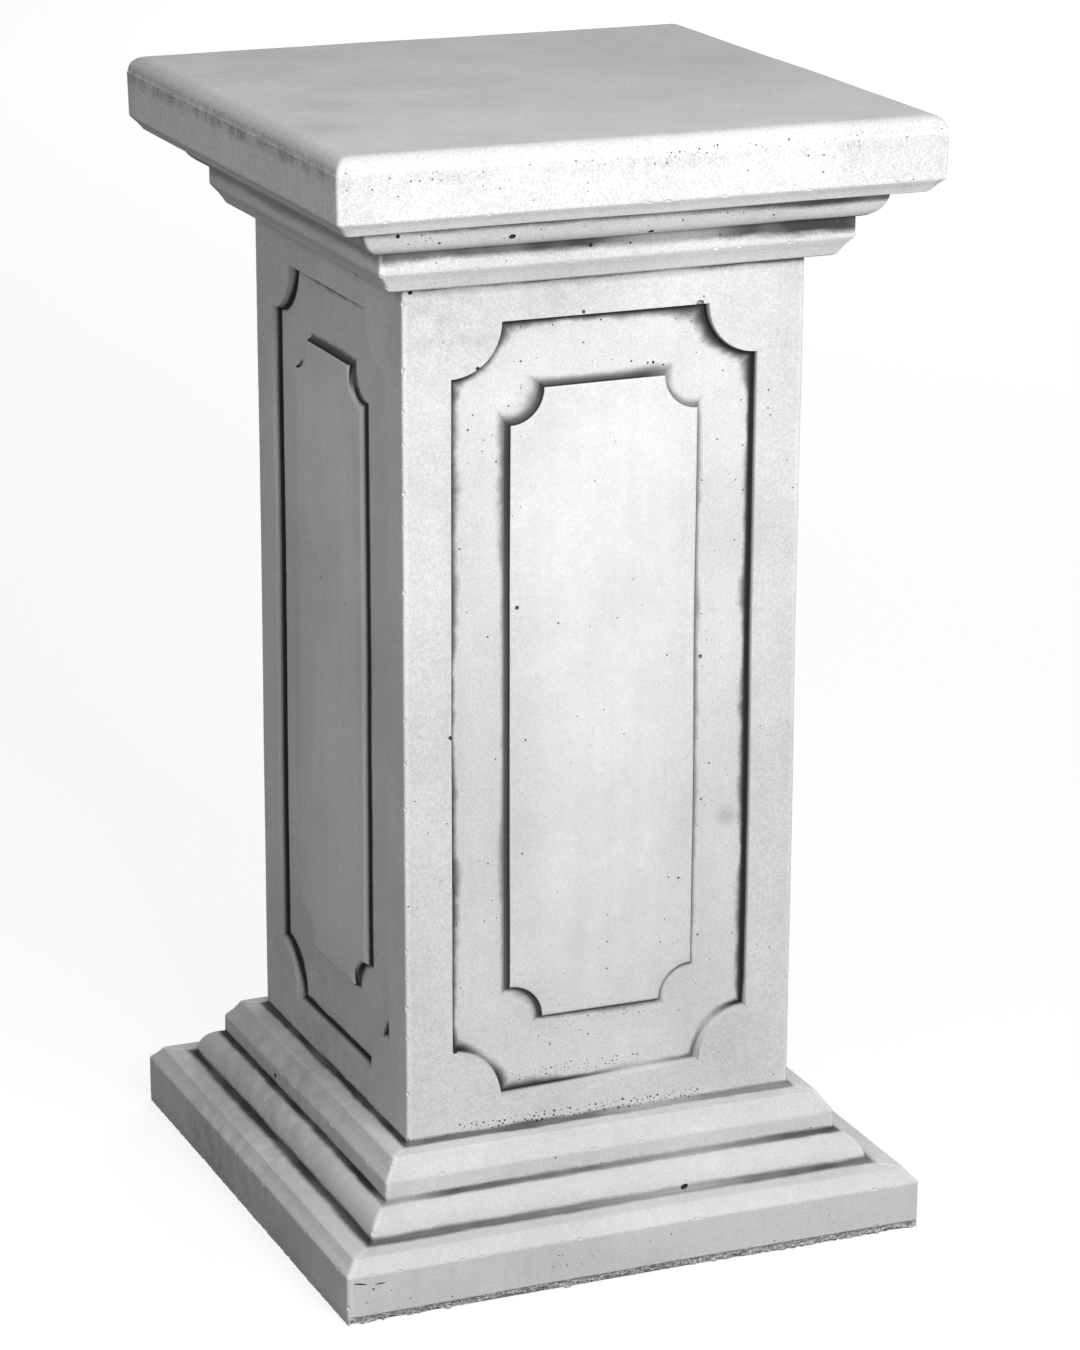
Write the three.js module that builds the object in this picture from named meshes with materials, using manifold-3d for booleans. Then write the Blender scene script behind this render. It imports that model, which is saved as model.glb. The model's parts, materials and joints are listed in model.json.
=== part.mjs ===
// Square pedestal of cast stone: a panelled shaft between a moulded base and a moulded cap, cast in one.
// Millimetres, +Z up. The underside lies on z = 0, the plan is centred on the z axis, the front faces -Y.
import * as THREE from 'three';
import { mergeVertices } from 'three/addons/utils/BufferGeometryUtils.js';
import Module from 'manifold-3d';

const wasm = await Module();
wasm.setup();

// Square plan, as half-widths from the axis
const plinthHalf = 150;
const bevelHalf = 143.5;
const ovoloHalf = 130;
const fasciaHalf = 118;
const stepHalf = 112;
const shaftHalf = 100.5;

// Rises of the mouldings. The cap repeats the base upside down, under a slab thicker than the plinth
const plinthRise = 24.5;
const bevelRise = 6.5;
const ovoloRise = 14;
const fasciaRise = 10.5;
const stepRise = 9;
const shaftRise = 417.5;
const slabRise = 30;
const slabRound = 8;

// Sunk panel on each face of the shaft, and the raised field in its middle
const panel = { half: 77, low: 84.7, high: 462.2, notch: 25 };
const field = { half: 47.2, low: 120.2, high: 429.6, notch: 16.7 };
const panelDepth = 4.6;
const panelDraft = 1.2;
const fieldDrop = 0.8;
const fieldDraft = 1.8;
const cutOver = 1;

// Steps in each rounded stretch
const ovoloSteps = 8;
const roundSteps = 5;
const notchSteps = 6;

const faces = 4;
const quarter = Math.PI / 2;

// Levels from the underside up
const bevelFoot = plinthRise;
const ovoloFoot = bevelFoot + bevelRise;
const fasciaFoot = ovoloFoot + ovoloRise;
const stepFoot = fasciaFoot + fasciaRise;
const shaftFoot = stepFoot + stepRise;
const shaftHead = shaftFoot + shaftRise;
const stepHead = shaftHead + stepRise;
const fasciaHead = stepHead + fasciaRise;
const ovoloHead = fasciaHead + ovoloRise;
const slabFoot = ovoloHead + bevelRise;
const slabHead = slabFoot + slabRise;

// A closed solid from a geometry, by its positions alone
function solidOf(geometry) {
  geometry.deleteAttribute('normal');
  geometry.deleteAttribute('uv');
  const merged = mergeVertices(geometry);
  const vertProperties = new Float32Array(merged.attributes.position.array);
  const triVerts = new Uint32Array(merged.index.array);
  return new wasm.Manifold(new wasm.Mesh({ numProp: 3, vertProperties, triVerts }));
}

// Half of the upright section, from the axis at the underside round to the axis at the top
function sectionPoints() {
  const point = (half, level) => new THREE.Vector2(half, level);
  const baseOvolo = new THREE.EllipseCurve(
    fasciaHalf, ovoloFoot, ovoloHalf - fasciaHalf, ovoloRise, 0, quarter);
  const capOvolo = new THREE.EllipseCurve(
    fasciaHalf, ovoloHead, ovoloHalf - fasciaHalf, ovoloRise, -quarter, 0);
  const slabArris = new THREE.EllipseCurve(
    plinthHalf - slabRound, slabHead - slabRound, slabRound, slabRound, 0, quarter);
  return [
    point(0, 0),
    point(plinthHalf, 0),
    point(plinthHalf, bevelFoot),
    point(bevelHalf, ovoloFoot),
    ...baseOvolo.getPoints(ovoloSteps),
    point(fasciaHalf, stepFoot),
    point(stepHalf, shaftFoot),
    point(shaftHalf, shaftFoot),
    point(shaftHalf, shaftHead),
    point(stepHalf, shaftHead),
    point(fasciaHalf, stepHead),
    ...capOvolo.getPoints(ovoloSteps),
    point(bevelHalf, ovoloHead),
    point(plinthHalf, slabFoot),
    ...slabArris.getPoints(roundSteps),
    point(0, slabHead),
  ];
}

// The section carried round a square, which mitres every moulding at the four corners
function mouldedBlock() {
  const toCorner = ({ x, y }) => new THREE.Vector2(x * Math.SQRT2, y);
  const block = new THREE.LatheGeometry(sectionPoints().map(toCorner), faces, quarter / 2);
  block.rotateX(quarter);
  return solidOf(block);
}

// An upright block with a hollow quarter-round out of each corner, between two distances from the axis.
// The insets draw its back and front outlines in, so that its sides slope.
function notchedBlock({ half, low, high, notch }, back, front, backInset, frontInset, turn) {
  const outline = new THREE.Shape();
  outline.moveTo(notch - half, low);
  outline.lineTo(half - notch, low);
  outline.absarc(half, low, notch, 2 * quarter, quarter, true);
  outline.lineTo(half, high - notch);
  outline.absarc(half, high, notch, 3 * quarter, 2 * quarter, true);
  outline.lineTo(notch - half, high);
  outline.absarc(-half, high, notch, 0, -quarter, true);
  outline.lineTo(-half, low + notch);
  outline.absarc(-half, low, notch, quarter, 0, true);
  const block = new THREE.ExtrudeGeometry(outline, {
    depth: front - back,
    bevelEnabled: false,
    curveSegments: notchSteps,
  });
  const middle = (low + high) / 2;
  const spots = block.attributes.position;
  for (let i = 0; i < spots.count; i++) {
    const inset = spots.getZ(i) > 0 ? frontInset : backInset;
    spots.setX(i, spots.getX(i) - Math.sign(spots.getX(i)) * inset);
    spots.setY(i, spots.getY(i) - Math.sign(spots.getY(i) - middle) * inset);
  }
  block.rotateX(quarter);
  block.translate(0, -back, 0);
  block.rotateZ(turn);
  return solidOf(block);
}

// What is sunk into one face: the panel down to its floor, less the raised field
function sunkPanel(turn) {
  const floor = shaftHalf - panelDepth;
  const overDraft = -panelDraft * cutOver / panelDepth;
  const sunk = notchedBlock(panel, floor, shaftHalf + cutOver, panelDraft, overDraft, turn);
  const under = floor - cutOver;
  const underDraft = -fieldDraft * (1 + cutOver / (panelDepth - fieldDrop));
  const raised = notchedBlock(field, under, shaftHalf - fieldDrop, underDraft, 0, turn);
  return sunk.subtract(raised);
}

let stone = mouldedBlock();
for (let face = 0; face < faces; face++) stone = stone.subtract(sunkPanel(face * quarter));

const { numProp, vertProperties, triVerts } = stone.getMesh();
const geometry = new THREE.BufferGeometry();
geometry.setAttribute('position', new THREE.BufferAttribute(vertProperties, numProp));
geometry.setIndex(new THREE.BufferAttribute(triVerts, 1));
geometry.computeVertexNormals();

const castStone = new THREE.MeshStandardMaterial({ color: '#cbcac6', roughness: 0.85, metalness: 0 });
const pedestal = new THREE.Mesh(geometry, castStone);
pedestal.name = 'pedestal';

const model = new THREE.Group();
model.add(pedestal);

export default model;
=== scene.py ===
import json
import math
import random
from types import SimpleNamespace

import bmesh
import bpy
from mathutils import Matrix, Vector

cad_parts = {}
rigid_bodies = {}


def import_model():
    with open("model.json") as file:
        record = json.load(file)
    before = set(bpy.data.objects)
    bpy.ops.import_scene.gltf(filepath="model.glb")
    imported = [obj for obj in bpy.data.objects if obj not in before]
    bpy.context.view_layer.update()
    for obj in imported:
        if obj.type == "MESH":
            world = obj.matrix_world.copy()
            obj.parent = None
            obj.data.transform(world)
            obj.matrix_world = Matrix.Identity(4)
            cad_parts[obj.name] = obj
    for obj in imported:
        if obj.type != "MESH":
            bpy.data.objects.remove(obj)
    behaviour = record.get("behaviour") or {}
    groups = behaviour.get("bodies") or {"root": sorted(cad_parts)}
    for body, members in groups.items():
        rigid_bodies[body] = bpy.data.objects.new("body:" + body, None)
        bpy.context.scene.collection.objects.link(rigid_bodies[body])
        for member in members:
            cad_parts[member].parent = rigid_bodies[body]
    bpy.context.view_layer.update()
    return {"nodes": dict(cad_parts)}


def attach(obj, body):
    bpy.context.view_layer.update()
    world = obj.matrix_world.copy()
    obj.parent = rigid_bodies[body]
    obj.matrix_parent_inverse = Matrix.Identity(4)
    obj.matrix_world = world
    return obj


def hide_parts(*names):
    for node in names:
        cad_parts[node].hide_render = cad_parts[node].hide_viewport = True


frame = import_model()
mm = 0.001
print("frame loaded:", ", ".join(frame["nodes"]))


def makeActive(piece):
    if bpy.context.object and bpy.context.object.mode != "OBJECT":
        bpy.ops.object.mode_set(mode="OBJECT")
    bpy.ops.object.select_all(action="DESELECT")
    piece.select_set(True)
    bpy.context.view_layer.objects.active = piece


def startEdit(piece):
    makeActive(piece)
    bpy.ops.object.mode_set(mode="EDIT")
    bpy.ops.mesh.select_mode(type="VERT")
    bpy.ops.mesh.select_all(action="SELECT")


# in edit mode: selects the verts, edges or faces that pass the test
def pick(piece, kind, test):
    bpy.ops.mesh.select_mode(type=kind)
    bpy.ops.mesh.select_all(action="DESELECT")
    work = bmesh.from_edit_mesh(piece.data)
    parts = {"VERT": work.verts, "EDGE": work.edges, "FACE": work.faces}[kind]
    chosen = [part for part in parts if test(part)]
    for part in chosen:
        part.select_set(True)
    work.select_flush_mode()
    bmesh.update_edit_mesh(piece.data)
    return len(chosen)


def applyModifier(piece, kind, **settings):
    makeActive(piece)
    modifier = piece.modifiers.new(kind.lower(), kind)
    for name, value in settings.items():
        setattr(modifier, name, value)
    bpy.ops.object.modifier_apply(modifier=modifier.name)


def removePiece(piece):
    mesh = piece.data
    bpy.data.objects.remove(piece)
    bpy.data.meshes.remove(mesh)


# camera, from the photograph's vanishing lines: f in pixels on the 1080 x 1350 picture
view = {
    "focalPixels": 4440.6,
    "longSide": 1350,
    "sensor": 36,
    "azimuth": -22.78,
    "elevation": 17.15,
    "roll": 0.21,
    "target": (9.6, 0, 258),
    "distance": 2190.8,
}


def makeCamera(v):
    turn, lift, roll = (math.radians(v[key]) for key in ("azimuth", "elevation", "roll"))
    back = Vector((math.sin(turn) * math.cos(lift), -math.cos(turn) * math.cos(lift), math.sin(lift)))
    level = (-back).cross(Vector((0, 0, 1))).normalized()
    upright = level.cross(-back)
    right = level * math.cos(roll) + upright * math.sin(roll)
    up = upright * math.cos(roll) - level * math.sin(roll)
    bpy.ops.object.camera_add(location=(Vector(v["target"]) + back * v["distance"]) * mm)
    camera = bpy.context.object
    camera.name = "camera"
    camera.rotation_euler = Matrix((right, up, back)).transposed().to_euler()
    camera.data.sensor_width = v["sensor"]
    camera.data.lens = v["focalPixels"] / v["longSide"] * v["sensor"]
    bpy.context.scene.camera = camera


makeCamera(view)
print("camera set")


# the casting's upright section, as pairs of half-width and level in mm
section = {
    "arris": 2.2,
    "mirrorLevel": 546.5,
    "fasciaHalf": 118,
    "ovoloFoot": 31,
    "ovoloOut": 12,
    "ovoloRise": 14,
    "ovoloSteps": 9,
    "slabDraft": 0.5,
    "slabHalf": 149.4,
    "slabEdge": 544.2,
    "slabRound": (7.2, 7.4),
    "slabSteps": 7,
}


def castingSection(s):
    base = [
        (149.4, 0), (149.4, 4.5),  # struck edge of the pour
        (149.4, 23.8), (149.2, 24.5), (148.8, 25.0),  # plinth and its worn arris
        (146.4, 27.3), (144.8, 29.3), (143.9, 30.5), (143.0, 30.9),  # bevel, a little hollow
        (131.2, 31.2), (130.4, 31.6), (130, 32.4),  # weathered top, crease under the ovolo
    ]
    for step in range(1, s["ovoloSteps"] + 1):
        angle = math.radians(10 + 80 * step / s["ovoloSteps"])
        base.append((s["fasciaHalf"] + s["ovoloOut"] * math.cos(angle),
                     s["ovoloFoot"] + s["ovoloRise"] * math.sin(angle)))
    base += [
        (118, 54.2), (117.8, 55.0), (117.3, 55.8),  # fascia and its worn arris
        (114.6, 59.0), (112.9, 61.7), (111.8, 63.6), (110.7, 64.3),  # bevel, hollow then rounded
        (101.6, 64.8), (100.8, 65.2), (100.5, 66.2),  # crease at the shaft's foot
    ]
    cap = [(half, s["mirrorLevel"] - level) for half, level in reversed(base[2:])]
    cap = [(half - s["slabDraft"] if half > 140 else half, level) for half, level in cap]
    slab = [(s["slabHalf"], s["slabEdge"] - 0.5), (s["slabHalf"] - 0.35, s["slabEdge"])]
    out, rise = s["slabRound"]
    for step in range(1, s["slabSteps"] + 1):
        angle = math.radians(8 + 82 * step / s["slabSteps"])
        slab.append((s["slabHalf"] - 0.3 - out + out * math.cos(angle),
                     s["slabEdge"] + rise * math.sin(angle)))
    return base + cap + slab


def raiseCasting(s):
    stations = castingSection(s)
    half, level = stations[0]
    bpy.ops.mesh.primitive_plane_add(size=2 * half * mm, location=(0, 0, 0))
    piece = bpy.context.object
    piece.name = piece.data.name = "castPedestal"
    startEdit(piece)
    bpy.ops.mesh.bevel(offset=s["arris"] * mm, segments=4, affect="VERTICES")
    bpy.ops.mesh.select_mode(type="FACE")
    bpy.ops.mesh.select_all(action="SELECT")
    for nextHalf, nextLevel in stations[1:]:
        bpy.ops.mesh.extrude_region_move(
            TRANSFORM_OT_translate={"value": (0, 0, (nextLevel - level) * mm)})
        grow = nextHalf / half
        bpy.ops.transform.resize(value=(grow, grow, 1), center_override=(0, 0, 0))
        half, level = nextHalf, nextLevel
    bpy.ops.mesh.select_all(action="SELECT")
    bpy.ops.mesh.remove_doubles(threshold=0.01 * mm)
    bpy.ops.mesh.normals_make_consistent(inside=False)
    bpy.ops.object.mode_set(mode="OBJECT")
    return piece


pedestal = raiseCasting(section)
print("casting raised:", len(pedestal.data.polygons), "faces")


# sunk panel and raised field of each shaft face, mm
panels = {
    "shaftHalf": 100.5,
    "sunk": {"half": 77, "low": 84.7, "high": 462.2, "notch": 25},
    "field": {"half": 47.2, "low": 120.2, "high": 429.6, "notch": 16.7},
    "depth": 4.6,
    "draft": 1.2,
    "fieldDrop": 0.8,
    "fieldDraft": 1.8,
    "fieldArris": 1.1,
    "hollowProfile": 0.0858,  # a quarter-round hollow, centred on the corner
    "notchSteps": 14,
    "over": 6,
    "pastCentre": 90,  # further out than this a cutter's points are one face's own
    "leftFieldSlip": 4.5,  # the left field's near edge sits further back
    "frontNotchSlip": 3,  # the front panel's lower left notch sits lower
}


def notchedBlock(outline, back, front, backInset, p):
    half, low, high = outline["half"], outline["low"], outline["high"]
    middle = (low + high) / 2
    bpy.ops.mesh.primitive_cube_add(
        size=1, location=(0, -(back + front) / 2 * mm, middle * mm),
        scale=(2 * half * mm, (front - back) * mm, (high - low) * mm))
    block = bpy.context.object
    bpy.ops.object.transform_apply()
    startEdit(block)
    pick(block, "EDGE", lambda e: abs(e.verts[0].co.y - e.verts[1].co.y) > mm)
    bpy.ops.mesh.bevel(offset=outline["notch"] * mm, segments=p["notchSteps"],
                       profile=p["hollowProfile"], affect="EDGES")
    pick(block, "VERT", lambda v: abs(v.co.y + back * mm) < 0.01 * mm)
    rise = (high - low) / 2
    bpy.ops.transform.resize(value=(1 - backInset / half, 1, 1 - backInset / rise),
                             center_override=(0, -back * mm, middle * mm))
    bpy.ops.object.mode_set(mode="OBJECT")
    return block


def cutPanels(piece, p):
    face, floor = p["shaftHalf"], p["shaftHalf"] - p["depth"]
    sunk = notchedBlock(p["sunk"], floor, face, p["draft"], p)
    startEdit(sunk)  # the mouth runs on past the face
    pick(sunk, "FACE", lambda f: f.normal.y < -0.9)
    bpy.ops.mesh.extrude_region_move(TRANSFORM_OT_translate={"value": (0, -p["over"] * mm, 0)})
    bpy.ops.object.mode_set(mode="OBJECT")
    top = face - p["fieldDrop"]
    under = floor - 1
    field = notchedBlock(p["field"], under, top, -p["fieldDraft"] * (top - under) / (top - floor), p)
    startEdit(field)
    pick(field, "EDGE", lambda e: all(abs(v.co.y + top * mm) < 0.01 * mm for v in e.verts))
    bpy.ops.mesh.bevel(offset=p["fieldArris"] * mm, segments=3, affect="EDGES")
    bpy.ops.object.mode_set(mode="OBJECT")
    applyModifier(sunk, "BOOLEAN", object=field, operation="DIFFERENCE", solver="EXACT")
    removePiece(field)
    startEdit(sunk)
    for turn in range(3):
        bpy.ops.mesh.select_linked()
        bpy.ops.mesh.duplicate()
        bpy.ops.transform.rotate(value=math.pi / 2, orient_axis="Z", center_override=(0, 0, 0))
    reach = p["field"]["half"] + p["fieldDraft"] * 2
    inner = p["field"]["half"] - p["field"]["notch"] - p["fieldDraft"]
    pick(sunk, "VERT", lambda v: v.co.x < -p["pastCentre"] * mm and -reach * mm < v.co.y < -inner * mm)
    bpy.ops.transform.translate(value=(0, p["leftFieldSlip"] * mm, 0))
    mouth, high = p["sunk"]["half"] - p["sunk"]["notch"], p["sunk"]["low"] + p["sunk"]["notch"]
    pick(sunk, "VERT", lambda v: v.co.y < -p["pastCentre"] * mm
         and v.co.x < -(mouth - 2) * mm and v.co.z < (high + 1) * mm)
    bpy.ops.transform.translate(value=(0, 0, -p["frontNotchSlip"] * mm))
    bpy.ops.object.mode_set(mode="OBJECT")
    applyModifier(piece, "BOOLEAN", object=sunk, operation="DIFFERENCE", solver="EXACT")
    removePiece(sunk)


cutPanels(pedestal, panels)
print("panels cut:", len(pedestal.data.polygons), "faces")


# flat faces are cut into small cells, so that they can carry the mould's unevenness, mm
cells = {"across": 7, "reach": 147, "rise": 8, "low": 70, "high": 478}


def cutCells(piece, c):
    startEdit(piece)
    bpy.ops.mesh.quads_convert_to_tris()
    halfCount = c["reach"] // c["across"]
    planes = [(axis, step * c["across"]) for axis in (0, 1) for step in range(-halfCount, halfCount + 1)]
    planes += [(2, level) for level in range(c["low"], c["high"], c["rise"])]
    for axis, offset in planes:
        normal = [0, 0, 0]
        normal[axis] = 1
        bpy.ops.mesh.select_all(action="SELECT")
        bpy.ops.mesh.bisect(plane_co=[n * offset * mm for n in normal], plane_no=normal, threshold=0.001 * mm)
    bpy.ops.object.mode_set(mode="OBJECT")


cutCells(pedestal, cells)
print("cells cut:", len(pedestal.data.polygons), "faces")


# the struck edge of the pour along the floor, ragged at the front, mm
pourEdge = {"height": 4.5, "depth": 3.2, "grain": 2.6, "cuts": 4, "front": 1, "others": 0.2}


def roughenPourEdge(piece, e):
    startEdit(piece)
    pick(piece, "FACE", lambda f: abs(f.normal.z) < 0.5 and f.calc_center_median().z < e["height"] * mm)
    bpy.ops.mesh.subdivide(number_cuts=e["cuts"])
    bpy.ops.object.mode_set(mode="OBJECT")
    group = piece.vertex_groups.new(name="pourEdge")
    for vert in piece.data.vertices:
        x, y, z = vert.co
        if z < e["height"] * mm * 0.95 and max(abs(x), abs(y)) > 149 * mm:
            share = e["front"] if y < -149 * mm else e["others"]
            group.add([vert.index], share * (1 - z / (e["height"] * mm)) ** 0.5, "REPLACE")
    grain = bpy.data.textures.new("pourGrain", "CLOUDS")
    grain.noise_scale = e["grain"] * mm
    grain.noise_depth = 2
    grain.contrast = 1.6
    applyModifier(piece, "DISPLACE", texture=grain, texture_coords="LOCAL", vertex_group="pourEdge",
                  direction="NORMAL", mid_level=1, strength=e["depth"] * mm)


roughenPourEdge(pedestal, pourEdge)
print("pour edge roughened:", len(pedestal.data.polygons), "faces")


# colours are written as they look on a screen
def linear(code):
    channels = [int(code[i:i + 2], 16) / 255 for i in (1, 3, 5)]
    return tuple(c / 12.92 if c < 0.04045 else ((c + 0.055) / 1.055) ** 2.4 for c in channels) + (1,)


# adds one node: sockets by place or name take a link or a value, the rest are its settings
def node(tree, kind, sockets=(), **settings):
    made = tree.nodes.new("ShaderNode" + kind)
    for name, value in settings.items():
        setattr(made, name, value)
    for place, value in (sockets.items() if isinstance(sockets, dict) else enumerate(sockets)):
        if isinstance(value, bpy.types.NodeSocket):
            tree.links.new(value, made.inputs[place])
        else:
            made.inputs[place].default_value = value
    return made.outputs


def newMaterial(name):
    material = bpy.data.materials.new(name)
    material.use_nodes = True
    return material, material.node_tree, material.node_tree.nodes["Principled BSDF"]


# cast stone: white cement and sand poured in a mould, then rubbed with a thin grey wash that was
# wiped off again. The eye sees a chalky pale face with sand specks, dark hollows and paler worn edges.
# Painted light is laid into it too: shadow in the cap's creases under the overhangs, shade along the pour
# edge and on the lower left of the base, and a highlight where the slab's round begins.
wash = {
    "stone": "#c2c2c1",
    "grey": "#222222",
    # size in mm, detail and roughness: drifts of wash, sand grains, worn patches and clouds in the cement
    "noises": {"broad": (34, 2, 0.5), "sand": (1.1, 2, 0.7), "patches": (9, 3, 0.6), "cloud": (60, 3, 0.5)},
    "dragSize": (26, 5),  # smears along a moulding and across it
    "streakSize": (7, 7, 160),  # streaks down the faces
    # half-width and level of a crease, how it thins outwards and upwards, near and far reach, strength; the
    # cap's creases under the slab and the ovolo also hold painted shadow from the overhangs above them
    "creases": [
        (130.4, 31.6, 0.62, 0.95, 0.8, 3.3, 0.97), (118.2, 45.3, 0.70, 0.95, 0.8, 2.7, 0.98),
        (100.8, 65.2, 0.65, 0.95, 0.8, 2.7, 0.98), (129.6, 514.4, 0.60, 0.75, 0.8, 3.2, 0.92),
        (118.0, 501.2, 0.80, 0.55, 1.0, 3.6, 0.97), (100.6, 481.4, 0.80, 0.80, 0.7, 2.4, 0.9),
    ],
    "thickWashAndShadowInCrease": 0.3,
    "frontShare": (0.86, 0.97),  # the lit front was wiped a little harder, most at its left end
    "capLeftShare": 0.5,  # and so was the left of the cap
    # where the wash was left on thickly, and one spot of painted shadow under the cap's slab: point, radius,
    # how much further it reaches
    "thickWashAndShadow": [
        ((54, -97, 457), 32, 10), ((-44, -98, 428), 16, 9), ((-44, -98, 122), 17, 4.5),
        ((-76, -97, 106), 14, 7), ((-77, -97, 435), 15, 7), ((-50, -97, 461), 18, 8),
        ((-50, -97, 385), 85, 3), ((54, -97, 86), 12, 3), ((-36, -97, 85), 34, 3),
        ((72, -97, 430), 16, 5), ((-77, -97, 190), 80, 2), ((10, -98, 118), 36, 1.5),
        ((26, -98, 430), 24, 3.5), ((-97, -36, 128), 13, 4), ((-97, 62, 92), 30, 2),
        ((-98, 20, 432), 40, 1.5), ((-97, 0, 462), 70, 3.2), ((-97, -68, 112), 16, 14),
        ((-97, 40, 422), 18, 3), ((0, -97, 461), 70, 1.5), ((48, -98, 300), 120, 1),
        # this spot at the cap's front right lengthens the painted shadow under the slab's edge
        ((100, -129, 514), 100, 5),
    ],
    # where it was wiped clean again: point, radius, amount
    "wiped": [
        ((22, -99, 85), 40, 0.7), ((41, -98, 424), 24, 0.45), ((-110, -122, 56), 30, 0.8),
        ((59, -98, 102), 18, 0.7), ((-59, -98, 102), 14, 0.5), ((40, -120, 45), 60, 0.45),
        ((8, -132, 32), 70, 0.25), ((88, -102, 65), 40, 0.3), ((22, -118, 501), 46, 0.4),
    ],
    # cloudy stains on top, smears below the cap and in the panel, and painted shade on the lower left of the
    # base
    "stainsAndShade": [
        ((-105, -28, 552), 24, 0.16), ((-126, -75, 552), 20, 0.14), ((124, 31, 552), 36, 0.10),
        ((-80, -100, 462), 52, 0.2), ((-20, -100, 474), 46, 0.13), ((67, -96, 208), 9, 0.22),
        # the last spot here is painted shade on the lower left of the base
        ((-42, -100, 230), 50, 0.05), ((-140, 20, 30), 165, 0.22),
    ],
    # pinholes too fine to model are drawn 0.6 to 1.3 mm wide so that they show, in cells of 2 mm
    "pinCell": 2,
    "pinWidth": (0.16, 0.34),  # radius as a share of the cell
    "pinEdge": 0.14,
    "pinShare": {"panel": (0.02, 0.4), "slab": (0.055, 0.006), "rest": 0.003},  # cells that hold one
    "pinLeft": 0.4,
}


# a soft round spot: one value at the point, another from the radius outwards
def spotAt(t, place, point, radius, middle, rim):
    gap = node(t, "VectorMath", (place, point), operation="DISTANCE")["Value"]
    return node(t, "MapRange", (gap, 0, radius, middle, rim), interpolation_type="SMOOTHSTEP")[0]


# a level band: full up to a start from its middle, and the rest from its end
def bandAt(t, level, middle, start, end, full, rest=0):
    off = node(t, "Math", (level, -middle))[0]
    off = node(t, "Math", (off,), operation="ABSOLUTE")[0]
    return node(t, "MapRange", (off, start, end, full, rest))[0]


# a layer thinned by one share after another
def thinned(t, layer, *shares):
    for share in shares:
        layer = node(t, "Math", (layer, share), operation="MULTIPLY")[0]
    return layer


# where a point lies on the casting, and the noises that the layers share
def stoneFields(t, w):
    place = node(t, "Attribute", attribute_name="mould")["Vector"]  # the unworn shape, in mm
    x, y, level = node(t, "SeparateXYZ", (place,))
    outX, outY, spare = node(t, "SeparateXYZ", (node(t, "VectorMath", (place,), operation="ABSOLUTE")[0],))
    facing = node(t, "Math", (outY, outX), operation="GREATER_THAN")[0]
    run = node(t, "Mix", {0: facing, 2: y, 3: x}, data_type="FLOAT")[0]  # runs along every moulding
    at = {
        "place": place, "x": x, "y": y, "level": level, "facing": facing, "run": run,
        "side": node(t, "Math", (outX, outY), operation="MAXIMUM")[0],
        "along": node(t, "Math", (outX, outY), operation="MINIMUM")[0],
        "front": node(t, "MapRange", (node(t, "Math", (outX, y))[0], 2, -2, 0, 1))[0],
        "left": node(t, "MapRange", (node(t, "Math", (outY, x))[0], 2, -2, 0, 1))[0],
    }
    for name, (size, detail, roughness) in w["noises"].items():
        at[name] = node(t, "TexNoise", {"Vector": place, "Scale": 1 / size, "Detail": detail,
                                        "Roughness": roughness})["Fac"]
    longways, crossways = w["dragSize"]
    smear = node(t, "CombineXYZ", (run, level))[0]
    smear = node(t, "VectorMath", (smear, (1 / longways, 1 / crossways, 0)), operation="MULTIPLY")[0]
    at["drag"] = node(t, "TexNoise", {"Vector": smear, "Scale": 1, "Detail": 3}, noise_dimensions="2D")["Fac"]
    stretch = tuple(1 / size for size in w["streakSize"])
    streaked = node(t, "VectorMath", (place, stretch), operation="MULTIPLY")[0]
    at["streaks"] = node(t, "TexNoise", {"Vector": streaked, "Scale": 1, "Detail": 2})["Fac"]
    thickWashAndShadow = 0
    for point, radius, amount in w["thickWashAndShadow"]:
        thickWashAndShadow = node(t, "Math", (spotAt(t, place, point, radius, amount, 0), thickWashAndShadow), operation="MAXIMUM")[0]
    return SimpleNamespace(**at, thickWashAndShadow=thickWashAndShadow)


# the wash that stayed in the creases of the mouldings, and in the cap's creases painted shadow under the
# overhangs as well
def washAndShadowInCreases(t, w, at):
    edge = node(t, "MapRange", (at.drag, 0.3, 0.7, -0.35, 0.45))[0]
    grain = node(t, "MapRange", (at.sand, 0.3, 0.7, -0.12, 0.12))[0]
    edge = node(t, "Math", (edge, grain))[0]
    held = 0
    for half, height, outwards, upwards, near, far, strength in w["creases"]:
        out = node(t, "Math", (at.side, -half))[0]
        up = node(t, "Math", (at.level, -height))[0]
        off = node(t, "CombineXYZ", (out, up))[0]
        off = node(t, "VectorMath", (off, (outwards, upwards, 0)), operation="MULTIPLY")[0]
        gap = node(t, "VectorMath", (off,), operation="LENGTH")["Value"]
        gap = node(t, "Math", (gap, edge))[0]
        gap = node(t, "Math", (at.thickWashAndShadow, -w["thickWashAndShadowInCrease"], gap), operation="MULTIPLY_ADD")[0]
        band = node(t, "MapRange", (gap, near, far, strength, 0), interpolation_type="SMOOTHSTEP")[0]
        held = node(t, "Math", (band, held), operation="MAXIMUM")[0]
    drifts = node(t, "MapRange", (at.broad, 0.34, 0.56, 0.82, 1))[0]
    lowFront = thinned(t, at.front, node(t, "MapRange", (at.level, 200, 210, 1, 0))[0])
    wipedFront = node(t, "MapRange", (at.x, -90, 90, *w["frontShare"]))[0]
    frontShare = node(t, "MapRange", (lowFront, 0, 1, 1, wipedFront))[0]
    capLeft = thinned(t, at.left, node(t, "MapRange", (at.level, 485, 488, 0, 1))[0])
    capShare = node(t, "MapRange", (capLeft, 0, 1, 1, w["capLeftShare"]))[0]
    return thinned(t, held, drifts, frontShare, capShare)


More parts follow.
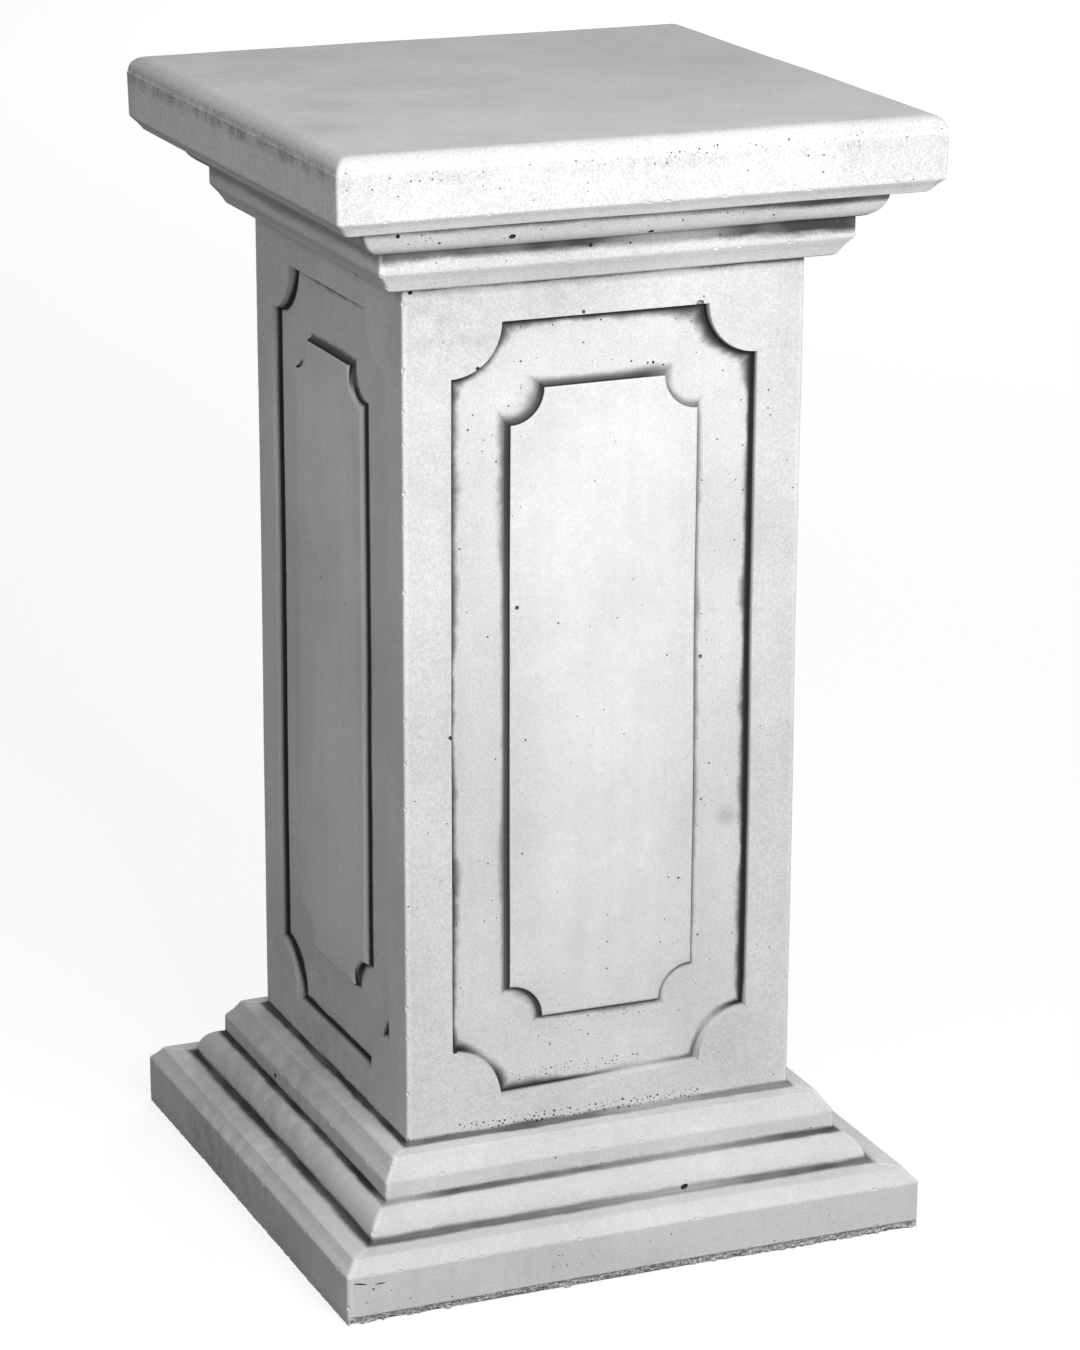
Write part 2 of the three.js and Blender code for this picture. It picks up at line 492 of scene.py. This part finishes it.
# how far a point lies outside a panel's outline, a box with hollowed corners
def pastOutline(t, at, outline, slipAcross, slipLevel):
    middle, rise = (outline["low"] + outline["high"]) / 2, (outline["high"] - outline["low"]) / 2
    across = node(t, "Math", (node(t, "Math", (at.along, -outline["half"]))[0], slipAcross))[0]
    height = node(t, "Math", (node(t, "Math", (at.level, -middle))[0], slipLevel))[0]
    above = node(t, "Math", (node(t, "Math", (height,), operation="ABSOLUTE")[0], -rise))[0]
    corner = node(t, "CombineXYZ", (across, above))[0]
    corner = node(t, "VectorMath", (corner,), operation="LENGTH")["Value"]
    hollow = node(t, "Math", (outline["notch"], corner), operation="SUBTRACT")[0]
    box = node(t, "Math", (across, above), operation="MAXIMUM")[0]
    return node(t, "Math", (box, hollow), operation="MAXIMUM")[0]


# the wash on the walls of the sunk panels and raised fields, fading out over the panel's floor. The depth
# runs from 0 at the top of a wall over its width to the floor
def washInPanels(t, at, p):
    fieldSlip = thinned(t, at.left, node(t, "MapRange", (at.y, -14, -28, 0, p["leftFieldSlip"]))[0])
    lowOnly = node(t, "MapRange", (at.level, 122, 110, 0, 1))[0]
    notchSlip = node(t, "MapRange", (at.x, 52, -52, 0, p["frontNotchSlip"]))[0]
    notchSlip = thinned(t, at.front, notchSlip, lowOnly)
    sunkDepth = node(t, "Math", (pastOutline(t, at, p["sunk"], 0, notchSlip), -1), operation="MULTIPLY")[0]
    fieldDepth = pastOutline(t, at, p["field"], fieldSlip, 0)

    # a sunk wall is bare at its rim, most at the foot of the front panel
    sunkWall = p["draft"]
    rim = node(t, "MapRange", (at.level, 95, 125, 0.6, 0.1))[0]
    rim = node(t, "Mix", {0: at.left, 2: rim, 3: 0.3}, data_type="FLOAT")[0]
    rimTone = node(t, "MapRange", (at.left, 0, 1, 0.12, 0.25))[0]
    fromRim = node(t, "Math", (sunkDepth, 1 / sunkWall), operation="MULTIPLY")[0]
    fromRim = node(t, "Math", (fromRim, rim), operation="SUBTRACT")[0]
    sunkTone = node(t, "MapRange", (fromRim, 0, 0.4, rimTone, 1))[0]

    # a field's wall is dark from its top, but the near one on the left only at its foot
    fieldWall = p["fieldDraft"]
    footTone = node(t, "MapRange", (at.thickWashAndShadow, 0, 5, 0.72, 0.97))[0]
    darkTone = node(t, "MapRange", (fieldDepth, 0.4, fieldWall, 1, footTone))[0]
    bareTone = node(t, "MapRange", (fieldDepth, 0, fieldWall * 0.7, 0.03, 0.3))[0]
    footLine = node(t, "MapRange", (fieldDepth, fieldWall * 0.35, fieldWall * 0.65, 0, 0.7))[0]
    bareTone = node(t, "Math", (bareTone, footLine))[0]
    bare = thinned(t, at.left, node(t, "MapRange", (at.y, -27, -32, 0, 1))[0])
    fieldTone = node(t, "Mix", {0: bare, 2: darkTone, 3: bareTone}, data_type="FLOAT")[0]

    spread = node(t, "MapRange", (at.broad, 0.35, 0.62, 2.2, 4.4))[0]
    spread = thinned(t, spread, node(t, "MapRange", (at.left, 0, 1, 1, 0.45))[0])
    ragged = node(t, "MapRange", (at.patches, 0.3, 0.7, 0.7, 1.3))[0]
    held, nearEdge = 0, 0  # pinholes gather near the edges
    for depth, wall, tone, fadeStart, share in ((sunkDepth, sunkWall, sunkTone, sunkWall + 0.3, 1),
                                                (fieldDepth, fieldWall, fieldTone, fieldWall * 0.8, 0.65)):
        top = node(t, "MapRange", (depth, -0.15, 0.1, 0, 1))[0]
        reach = node(t, "Math", (spread, share, at.thickWashAndShadow), operation="MULTIPLY_ADD")[0]
        fadeEnd = node(t, "Math", (reach, ragged, wall), operation="MULTIPLY_ADD")[0]
        fade = node(t, "MapRange", (depth, fadeStart, fadeEnd, 1, 0), interpolation_type="SMOOTHSTEP")[0]
        held = node(t, "Math", (thinned(t, top, tone, fade), held), operation="MAXIMUM")[0]
        onFloor = node(t, "MapRange", (depth, wall, wall + 0.3, 0, 1))[0]
        strip = thinned(t, node(t, "MapRange", (depth, 2, 14, 1, 0))[0], onFloor)
        nearEdge = node(t, "Math", (strip, nearEdge), operation="MAXIMUM")[0]
    # the panel's floor and still more its field were rubbed cleaner than the frame
    cleanFloor = node(t, "MapRange", (sunkDepth, 0, 9, 0, 0.04))[0]
    cleanField = node(t, "MapRange", (fieldDepth, -22, 0, 0.08, 0))[0]
    clean = node(t, "Math", (1, node(t, "Math", (cleanFloor, cleanField))[0]))[0]
    return held, nearEdge, clean


# on the upright faces, thickest where the wash lies thick in a panel and under the slab's rounded edge
def pinholes(t, w, at, nearEdge, slab):
    shifted = node(t, "Math", (at.facing, 37, at.run), operation="MULTIPLY_ADD")[0]  # no two faces match
    flat = node(t, "CombineXYZ", (shifted, at.level))[0]
    cell = node(t, "TexVoronoi", {"Vector": flat, "Scale": 1 / w["pinCell"]}, voronoi_dimensions="2D")
    chance, width, spare = node(t, "SeparateXYZ", (cell["Color"],))
    share = w["pinShare"]
    inPanel = thinned(t, nearEdge, node(t, "MapRange", (at.thickWashAndShadow, 3, 10, *share["panel"]))[0])
    onSlab = thinned(t, slab, bandAt(t, at.level, 541, 2, 8, *share["slab"]))
    filled = node(t, "Math", (inPanel, onSlab), operation="MAXIMUM")[0]
    filled = node(t, "Math", (filled, share["rest"]))[0]
    filled = thinned(t, filled, node(t, "MapRange", (at.left, 0, 1, 1, w["pinLeft"]))[0])
    present = node(t, "Math", (chance, filled), operation="LESS_THAN")[0]
    width = node(t, "MapRange", (width, 0, 1, *w["pinWidth"]))[0]
    within = node(t, "Math", (width, cell["Distance"]), operation="SUBTRACT")[0]
    pin = node(t, "MapRange", (within, 0, w["pinEdge"], 0, 0.9))[0]
    lie = node(t, "SeparateXYZ", (node(t, "NewGeometry")["True Normal"],))["Z"]
    lie = node(t, "Math", (lie,), operation="ABSOLUTE")[0]
    return thinned(t, pin, present, node(t, "MapRange", (lie, 0.3, 0.5, 1, 0))[0])


# tone of the bare stone, around 1, with painted shade and a painted highlight laid into it
def stoneToneAndPaintedLight(t, w, at, clean, slab):
    # sand shows most on the slab, least on top, on the rubbed fields and low down
    coarse = thinned(t, node(t, "MapRange", (slab, 0, 1, 0.68, 1))[0],
                        node(t, "MapRange", (at.level, 550, 551, 1, 0.5))[0],
                        node(t, "MapRange", (clean, 1, 1.1, 1, 0.6))[0],
                        node(t, "MapRange", (at.level, 60, 80, 0.7, 1))[0])
    speck = thinned(t, node(t, "Math", (at.sand, -0.5))[0], coarse)
    tone = thinned(t, node(t, "Math", (speck, clean))[0],
                      node(t, "MapRange", (at.streaks, 0.3, 0.7, 0.98, 1.02))[0],
                      node(t, "MapRange", (at.cloud, 0.36, 0.62, 0.93, 1.03))[0],
                      node(t, "MapRange", (at.patches, 0.3, 0.7, 0.97, 1.02))[0])
    cloudy = node(t, "MapRange", (at.patches, 0.35, 0.6, 0.2, 1.2))[0]
    darker = [thinned(t, spotAt(t, at.place, *darkSpot, 0), cloudy) for darkSpot in w["stainsAndShade"]]
    # a darker band round the left ovolo, a stain below the slab's round, its porous left edge, and the gritty
    # pour edge, partly grit and partly painted shade along the floor
    darker.append(thinned(t, bandAt(t, at.level, 508, 5, 8, 0.25), at.left))
    darker.append(thinned(t, bandAt(t, at.level, 540, 0, 5, 0.16),
                             node(t, "MapRange", (at.patches, 0.45, 0.65, 0, 1))[0]))
    darker.append(thinned(t, bandAt(t, at.level, 543, 1, 6, 0.4), at.left,
                             node(t, "MapRange", (at.patches, 0.35, 0.65, 0.2, 1))[0]))
    darker.append(thinned(t, node(t, "MapRange", (at.level, 3.2, 5.2, 0.8, 0))[0], at.front,
                             node(t, "MapRange", (at.sand, 0.3, 0.65, 1, 0))[0]))
    # a pale line where the slab's round begins, partly a seam and partly a painted highlight on its small
    # ledge, and worn pale corners
    paleSeamAndHighlight = thinned(t, bandAt(t, at.level, 544.3, 0.4, 1.4, 0.13),
                      node(t, "MapRange", (at.drag, 0.4, 0.6, 0, 1))[0])
    fromCorner = node(t, "Math", (at.side, at.along), operation="SUBTRACT")[0]
    worn = thinned(t, node(t, "MapRange", (fromCorner, 0.5, 3, 0.16, 0))[0],
                      node(t, "MapRange", (at.level, 546, 548, 1, 0))[0])
    for part, change in [(part, "SUBTRACT") for part in darker] + [(paleSeamAndHighlight, "ADD"), (worn, "ADD")]:
        tone = node(t, "Math", (tone, part), operation=change)[0]
    return tone


def makeStone(w, p):
    material, t, shader = newMaterial("washedCastStone")
    at = stoneFields(t, w)
    panelWash, nearEdge, clean = washInPanels(t, at, p)
    held = node(t, "Math", (washAndShadowInCreases(t, w, at), panelWash), operation="MAXIMUM")[0]
    for point, radius, amount in w["wiped"]:
        held = thinned(t, held, spotAt(t, at.place, point, radius, 1 - amount, 1))
    slab = node(t, "MapRange", (at.level, 518, 524, 0, 1))[0]
    held = node(t, "Math", (held, pinholes(t, w, at, nearEdge, slab)), operation="MAXIMUM")[0]
    tone = stoneToneAndPaintedLight(t, w, at, clean, slab)
    colour = node(t, "VectorMath", {0: linear(w["stone"])[:3], "Scale": tone}, operation="SCALE")[0]
    colour = node(t, "Mix", {0: held, 6: colour, 7: linear(w["grey"])}, data_type="RGBA")[2]
    t.links.new(colour, shader.inputs["Base Color"])
    t.links.new(node(t, "MapRange", (at.sand, 0.3, 0.7, 0.8, 0.95))[0], shader.inputs["Roughness"])
    bump = node(t, "Bump", {"Strength": 0.4, "Distance": 0.3 * mm, "Height": at.sand})["Normal"]
    t.links.new(bump, shader.inputs["Normal"])
    return material


# air hole: a bubble that stayed in the pour and took the wash. The eye sees a dull dark or grey pit.
def makeAirHole():
    material, t, shader = newMaterial("washedAirHole")
    place = node(t, "Attribute", attribute_name="mould")["Vector"]
    filled = node(t, "TexNoise", {"Vector": place, "Scale": 1 / 14, "Detail": 1})["Fac"]
    share = node(t, "MapRange", (filled, 0.5, 0.66, 0, 1))[0]
    mixed = node(t, "Mix", {0: share, 6: linear("#2c2c2c"), 7: linear("#868684")}, data_type="RGBA")[2]
    t.links.new(mixed, shader.inputs["Base Color"])
    shader.inputs["Roughness"].default_value = 0.95
    return material


stone = makeStone(wash, panels)
pitLining = makeAirHole()
pedestal.data.materials.append(stone)
print("stone and wash mixed")


# air holes, mm: face, place across, level, radius, and how much longer than wide
airHoles = {
    "seed": 4,
    "apart": 0.3,
    "sink": 0.25,  # how far in the bubble's middle lies, by its radius
    "tilt": 0.4,
    "roundAbove": 0.7,
    "placed": [
        ("front", -64, 441.4, 1.0, 1), ("front", -11.6, 463.4, 1.0, 1), ("front", -96.7, 479.2, 1.25, 1),
        ("front", 47.3, 462.6, 1.6, 1.3), ("front", -43.8, 325.7, 1.1, 1), ("front", 52.1, 289.9, 1.1, 1),
        ("front", 48.4, 307.7, 0.75, 1), ("front", 52.6, 311.0, 0.5, 1), ("front", 51.5, 376.7, 0.5, 1),
        ("front", 25.8, 435.6, 0.75, 1), ("front", 23.0, 435.6, 0.6, 1), ("front", 30.9, 434, 0.6, 1),
        ("front", 14.7, 437.1, 0.65, 1), ("front", -9.5, 448.1, 0.5, 1), ("front", -64.6, 418.8, 0.6, 1),
        ("front", 84.3, 405.9, 0.5, 1), ("front", 72.5, 391.4, 0.5, 1), ("front", 40.1, 181, 0.7, 1),
        ("front", -39.3, 260.4, 0.6, 1), ("front", -16, 246.2, 0.4, 1), ("front", 52.4, 149, 0.6, 1),
        ("front", -76.9, 266.1, 1.1, 1.4), ("front", 34.9, 182, 0.5, 1),
        ("front", -113.6, 511.3, 1.1, 1), ("front", -107.9, 507, 0.5, 1), ("front", -93, 506.3, 0.8, 1),
        ("front", -102.2, 510.9, 0.6, 1), ("front", -99.8, 508, 0.5, 1), ("front", -99.4, 504.9, 0.4, 1),
        ("front", -58.3, 506.7, 1.4, 1.3), ("front", -62, 506, 0.45, 1), ("front", 10.9, 503.5, 1.3, 1.2),
        ("front", -16.2, 498.2, 1.1, 1), ("front", 24.9, 508.4, 0.6, 1), ("front", 31.7, 33, 1.2, 1.8),
        ("front", -38, 12, 0.5, 1), ("front", -45, 12.3, 0.5, 1), ("front", -118, 9.4, 0.5, 1),
        ("front", -143, 20.9, 0.45, 9), ("front", -133, 19.6, 0.38, 8), ("front", -139.8, 11, 0.5, 1),
        ("front", -96.8, 6.3, 0.5, 1), ("front", -136.5, 17.3, 0.65, 1),
        ("left", 39, 50.5, 1.0, 2), ("left", -41.5, 475.7, 0.75, 1), ("left", 9.8, 158, 0.6, 1),
        ("left", 39.8, 194, 0.4, 1),
    ],
    # bands of small ones: face, from and to across, from and to level, count, smallest and largest
    "bands": [
        ("front", -76, 52, 66.6, 71, 190, 0.32, 0.75), ("front", -52, 12, 87, 93, 80, 0.28, 0.6),
        ("front", -32, 30, 111, 118, 26, 0.25, 0.45), ("front", 42, 50, 446, 459, 14, 0.25, 0.55),
        ("front", -96, 96, 72, 478, 46, 0.25, 0.5), ("front", -122, 122, 492, 512, 20, 0.3, 0.8),
        ("front", 5, 110, 542, 546, 30, 0.3, 0.65), ("front", -145, 145, 7, 22, 10, 0.3, 0.5),
        ("left", -90, 80, 66.6, 71, 40, 0.28, 0.6), ("left", -90, 90, 72, 478, 30, 0.25, 0.5),
        ("left", -120, 120, 492, 512, 14, 0.3, 0.8), ("left", -140, 140, 541, 546, 26, 0.3, 0.7),
        ("right", -90, 80, 66.6, 71, 36, 0.28, 0.6), ("right", -94, 94, 72, 478, 34, 0.25, 0.6),
        ("right", -120, 120, 492, 512, 14, 0.3, 0.9), ("right", -140, 140, 526, 546, 16, 0.3, 0.6),
        ("back", -80, 60, 66.6, 71, 36, 0.28, 0.6), ("back", -94, 94, 72, 478, 34, 0.25, 0.6),
        ("back", -120, 120, 492, 512, 14, 0.3, 0.9), ("back", -140, 140, 526, 546, 16, 0.3, 0.6),
    ],
}
outward = {"front": Vector((0, -1, 0)), "back": Vector((0, 1, 0)),
           "left": Vector((-1, 0, 0)), "right": Vector((1, 0, 0))}


# the point of the casting's skin that lies straight in from a face
def skinAt(piece, face, across, level):
    out = outward[face]
    sideways = Vector((abs(out.y), abs(out.x), 0))
    start = out * 0.3 + sideways * across * mm + Vector((0, 0, level * mm))
    found, point, normal, index = piece.ray_cast(start, -out)
    return point, normal


def startCutter(name, material):
    bpy.ops.object.select_all(action="DESELECT")
    mesh = bpy.data.meshes.new(name)
    cutter = bpy.data.objects.new(name, mesh)
    bpy.context.collection.objects.link(cutter)
    mesh.materials.append(material)
    startEdit(cutter)
    return cutter


def cutAirHoles(piece, a):
    bpy.context.view_layer.update()
    chance = random.Random(a["seed"])
    rows = list(a["placed"])
    for face, start, end, low, high, count, small, large in a["bands"]:
        for each in range(count):
            radius = small + (large - small) * chance.random() ** 2
            rows.append((face, chance.uniform(start, end), chance.uniform(low, high), radius, 1))
    kept = []
    for face, across, level, radius, longer in rows:
        point, normal = skinAt(piece, face, across, level)
        reach = radius * longer * mm
        if all((point - other).length > reach + otherReach + a["apart"] * mm
               for other, otherReach, *rest in kept):
            kept.append((point, reach, normal, radius * mm, longer))
    cutter = startCutter("airHoles", pitLining)
    for point, reach, normal, radius, longer in kept:
        bpy.ops.mesh.primitive_ico_sphere_add(
            subdivisions=2 if radius > a["roundAbove"] * mm else 1, radius=radius,
            location=point - normal * radius * a["sink"],
            rotation=(0, chance.uniform(-a["tilt"], a["tilt"]), 0), scale=(longer, longer, 1))
    bpy.ops.mesh.select_all(action="SELECT")
    bpy.ops.mesh.normals_make_consistent(inside=False)
    bpy.ops.object.mode_set(mode="OBJECT")
    applyModifier(piece, "BOOLEAN", object=cutter, operation="DIFFERENCE", solver="EXACT",
                  material_mode="TRANSFER")
    removePiece(cutter)
    return len(kept)


count = cutAirHoles(pedestal, airHoles)
print("air holes:", count, "and", len(pedestal.data.polygons), "faces")


# knocks on the arrises, mm: they show the bare stone
knocks = {
    "seed": 9,
    "corners": [((-1, -1), 46), ((1, -1), 26), ((1, 1), 22), ((-1, 1), 26)],
    "edges": [
        ("front", 24.4, 12), ("front", 55, 9), ("front", 491.4, 6), ("front", 522, 9), ("left", 24.4, 12),
        ("left", 55, 9), ("left", 522, 9), ("right", 24.4, 8), ("right", 522, 8), ("back", 24.4, 8),
        ("back", 522, 8),
    ],
    "fasciaLevels": (50, 500),
    "fasciaReach": 108,
    "slabReach": 140,
    "cornerSize": 1.6,
    "edgeSize": 1.2,
    "edgeLonger": 1.6,
    "sizeRange": (0.6, 1.5),
    "bite": (0.25, 0.75),
    "apart": 6,
    "tilt": 0.2,
    "ruffle": 0.16,
}


def knockArrises(piece, k):
    bpy.context.view_layer.update()
    chance = random.Random(k["seed"])
    rows = []
    for (outX, outY), count in k["corners"]:
        for each in range(count):
            inwards = Vector((-outX, -outY, 0)).normalized()
            level = chance.uniform(6, 546)
            start = Vector((outX * 0.3, outY * 0.3, level * mm))
            rows.append((piece.ray_cast(start, inwards), k["cornerSize"], 1))
    for face, level, count in k["edges"]:
        for each in range(count):
            low, high = k["fasciaLevels"]
            half = k["fasciaReach"] if low < level < high else k["slabReach"]
            point, normal = skinAt(piece, face, chance.uniform(-half, half), level)
            rows.append(((True, point, normal, 0), k["edgeSize"], k["edgeLonger"]))
    kept = []
    for (found, point, normal, index), size, longer in rows:
        radius = size * chance.uniform(*k["sizeRange"]) * mm
        bite = chance.uniform(*k["bite"]) * mm
        if all((point - other).length > k["apart"] * mm for other, *rest in kept):
            kept.append((point, point + normal * (radius - bite), radius, longer))
    cutter = startCutter("knocks", stone)
    for point, middle, radius, longer in kept:
        alongX, alongY = abs(point.y) > abs(point.x), abs(point.x) > abs(point.y)
        bpy.ops.mesh.primitive_ico_sphere_add(
            subdivisions=2, radius=radius, location=middle,
            rotation=(0, chance.uniform(-k["tilt"], k["tilt"]), 0),
            scale=(longer if alongX else 1, longer if alongY else 1, 1))
        bpy.ops.transform.vertex_random(offset=k["ruffle"] * radius, seed=chance.randrange(999))
    bpy.ops.mesh.select_all(action="SELECT")
    bpy.ops.mesh.normals_make_consistent(inside=False)
    bpy.ops.object.mode_set(mode="OBJECT")
    applyModifier(piece, "BOOLEAN", object=cutter, operation="DIFFERENCE", solver="EXACT")
    removePiece(cutter)
    return len(kept)


count = knockArrises(pedestal, knocks)
print("arrises knocked:", count, "and", len(pedestal.data.polygons), "faces")


# the mould's unevenness, mm; the unworn shape is kept for the stone's pattern
unevenness = {"width": 120, "depth": 1.0, "footBelow": 0.5, "smoothAngle": 14}


def unevenCasting(piece, u):
    shape = piece.data.attributes.new("mould", "FLOAT_VECTOR", "POINT")
    for vert in piece.data.vertices:
        shape.data[vert.index].vector = vert.co / mm
    waves = bpy.data.textures.new("mouldWaves", "CLOUDS")
    waves.noise_scale = u["width"] * mm
    waves.noise_depth = 1
    waves.cloud_type = "COLOR"
    applyModifier(piece, "DISPLACE", texture=waves, texture_coords="LOCAL", direction="RGB_TO_XYZ",
                  mid_level=0.5, strength=u["depth"] * mm)
    startEdit(piece)
    bpy.ops.mesh.dissolve_degenerate(threshold=0.001 * mm)
    pick(piece, "VERT", lambda v: v.co.z < u["footBelow"] * mm)  # it stands flat
    bpy.ops.transform.resize(value=(1, 1, 0), center_override=(0, 0, 0))
    makeActive(piece)
    bpy.ops.object.shade_smooth_by_angle(angle=math.radians(u["smoothAngle"]))


unevenCasting(pedestal, unevenness)
print("casting made uneven:", sum(len(f.vertices) - 2 for f in pedestal.data.polygons), "triangles")


# a pale floor that glows like a light table but lights nothing else, and soft studio light
studio = {
    "floor": "#7c7c7c",
    "floorSize": 80,
    "floorGlow": 0.8,
    "ambient": 0.2,
    "lamps": {
        "key": {"place": (0.0, -0.95, 0.74), "aim": (0, 0, 0.45), "size": 0.5, "watts": 12.7},
        "leftFill": {"place": (-1.1, -0.35, 1.0), "aim": (0, 0, 0.3), "size": 0.6, "watts": 4.4},
        "backFill": {"place": (2.6, 3.6, 1.6), "aim": (0, 0, 0.3), "size": 2, "watts": 75},
        "overhead": {"place": (0.2, 0.0, 2.4), "aim": (0, 0, 0.3), "size": 1.6, "watts": 8},
    },
}


def makeStudio(s):
    bpy.ops.mesh.primitive_plane_add(size=s["floorSize"], location=(0, 0, 0))
    floor = bpy.context.object
    floor.name = "floor"
    paper, t, shader = newMaterial("paleFloor")
    shader.inputs["Base Color"].default_value = linear(s["floor"])
    shader.inputs["Roughness"].default_value = 0.9
    shader.inputs["Emission Color"].default_value = (1, 1, 1, 1)
    shader.inputs["Emission Strength"].default_value = s["floorGlow"]
    floor.data.materials.append(paper)
    ownLight = bpy.data.collections.new("litByFloor")
    ownLight.objects.link(floor)
    floor.light_linking.receiver_collection = ownLight
    for name, lamp in s["lamps"].items():
        light = bpy.data.lights.new(name, "AREA")
        light.energy = lamp["watts"]
        light.size = lamp["size"]
        box = bpy.data.objects.new(name, light)
        bpy.context.collection.objects.link(box)
        box.location = lamp["place"]
        box.rotation_euler = (Vector(lamp["aim"]) - box.location).to_track_quat("-Z", "Y").to_euler()
        box.visible_camera = False
    world = bpy.data.worlds.new("studio")
    world.use_nodes = True
    world.node_tree.nodes["Background"].inputs["Color"].default_value = (1, 1, 1, 1)
    world.node_tree.nodes["Background"].inputs["Strength"].default_value = s["ambient"]
    bpy.context.scene.world = world
    bpy.context.scene.view_settings.view_transform = "Standard"


makeStudio(studio)
print("studio lit")

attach(pedestal, "root")
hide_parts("pedestal")
